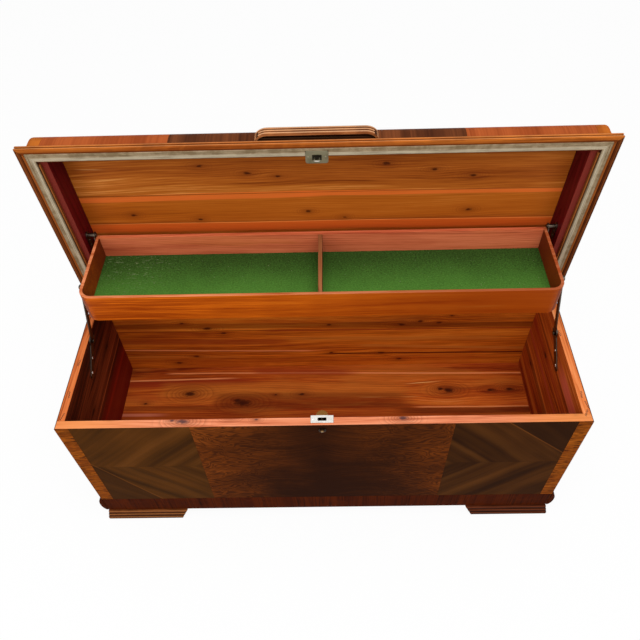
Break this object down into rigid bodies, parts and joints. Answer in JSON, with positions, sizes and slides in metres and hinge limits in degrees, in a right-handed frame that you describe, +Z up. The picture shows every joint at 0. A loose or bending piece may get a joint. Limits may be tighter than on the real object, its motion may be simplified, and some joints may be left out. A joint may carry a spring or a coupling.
{
  "type": "blanket chest",
  "caption": "Cedar-lined blanket chest with a rounded waterfall lid, veneered front, reeded pull and feet, and a felted tray that rises level on side arms as the lid opens.",
  "frame": {"origin": "on the floor, under the middle of the outline of the open chest", "axes": "+Z up, +X along the length towards the chest's right side, front towards -Y"},
  "size_m": [1.2, 0.4922, 0.8912],
  "materials": {
    "cedar": "varnished red cedar",
    "pale_cedar": "satin cedar edge",
    "red_cedar": "satin red cedar",
    "maroon_cedar": "maroon stained, satin",
    "walnut": "gloss lacquered walnut veneer",
    "crotch_walnut": "gloss lacquered figured veneer",
    "golden_band": "gloss lacquered crossband veneer",
    "red_band": "gloss lacquered crossband veneer",
    "reeded_wood": "lacquered, dark in the grooves",
    "lid_veneer": "gloss lacquered veneer",
    "striped_veneer": "gloss lacquered striped veneer",
    "felt": "green felt",
    "gasket": "grey seal strip",
    "nickel": "nickel plated",
    "dark_steel": "darkened steel",
    "brass": "aged brass"
  },
  "bodies": {
    "chest": {"front_board": "pale_cedar", "back_board": "cedar", "left_side_board": "cedar", "right_side_board": "cedar", "floor_panel": "cedar", "centre_veneer": "crotch_walnut", "left_chevron_veneer": "walnut", "right_chevron_veneer": "walnut", "left_corner_band": "golden_band", "right_corner_band": "golden_band", "left_side_veneer": "crotch_walnut", "right_side_veneer": "crotch_walnut", "front_base_rail": "red_band", "left_base_moulding": "red_band", "right_base_moulding": "red_band", "left_front_foot": "reeded_wood", "right_front_foot": "reeded_wood", "left_back_foot": "reeded_wood", "right_back_foot": "reeded_wood", "lock_case": "brass", "lock_plate": "nickel", "button_ring": "brass", "left_hinge_chest_leaf": "brass", "right_hinge_chest_leaf": "brass", "left_wall_plate": "dark_steel", "right_wall_plate": "dark_steel"},
    "lid": {"left_hinge_lid_leaf": "brass", "right_hinge_lid_leaf": "brass", "left_lid_end_rail": "maroon_cedar", "right_lid_end_rail": "maroon_cedar", "lid_shell": "red_cedar", "lid_back_rail": "red_cedar", "lid_lining_board_1": "cedar", "lid_lining_board_2": "cedar", "lid_centre_veneer": "striped_veneer", "left_lid_veneer": "lid_veneer", "right_lid_veneer": "lid_veneer", "left_lid_end_band": "golden_band", "right_lid_end_band": "golden_band", "front_moulding": "reeded_wood", "left_side_moulding": "reeded_wood", "right_side_moulding": "reeded_wood", "lid_gasket": "gasket", "lid_pull": "reeded_wood", "strike_plate": "nickel", "left_lid_pivot_plate": "dark_steel", "right_lid_pivot_plate": "dark_steel"},
    "tray": {"tray_rim": "cedar", "tray_back": "red_cedar", "tray_floor": "cedar", "tray_divider": "pale_cedar", "tray_felt": "felt", "left_tray_bracket": "dark_steel", "right_tray_bracket": "dark_steel", "left_tray_stud": "dark_steel", "right_tray_stud": "dark_steel"},
    "left_arm": {"left_lift_arm": "dark_steel"},
    "right_arm": {"right_lift_arm": "dark_steel"},
    "button": {"push_button": "nickel"},
    "bolt": {"lock_bolt": "nickel"}
  },
  "joints": [
    {"name": "lid_hinge", "type": "hinge", "parent": "chest", "child": "lid", "pos_m": [0, 0.16291, 0.4575], "axis": [1, 0, 0], "range_deg": [0, 87]},
    {"name": "left_arm_pivot", "type": "hinge", "parent": "chest", "child": "left_arm", "pos_m": [-0.5428, 0.00891, 0.442], "axis": [1, 0, 0], "range_deg": [0, 87]},
    {"name": "right_arm_pivot", "type": "hinge", "parent": "chest", "child": "right_arm", "pos_m": [0.5428, 0.00891, 0.442], "axis": [1, 0, 0], "range_deg": [0, 87]},
    {"name": "tray_pivot", "type": "hinge", "parent": "lid", "child": "tray", "pos_m": [0, 0.18881, 0.61307], "axis": [1, 0, 0], "range_deg": [-87, 0]},
    {"name": "button_slide", "type": "slide", "parent": "chest", "child": "button", "axis": [0, 1, 0], "range_m": [0, 0.0035], "stiffness_N_per_m": 400},
    {"name": "bolt_slide", "type": "slide", "parent": "chest", "child": "bolt", "axis": [0, 1, 0], "range_m": [0, 0.0035]}
  ],
  "couplings": [
    {"joint": "left_arm_pivot", "follows": "lid_hinge", "ratio": 1},
    {"joint": "right_arm_pivot", "follows": "lid_hinge", "ratio": 1},
    {"joint": "tray_pivot", "follows": "lid_hinge", "ratio": -1},
    {"joint": "bolt_slide", "follows": "button_slide", "ratio": 1}
  ]
}
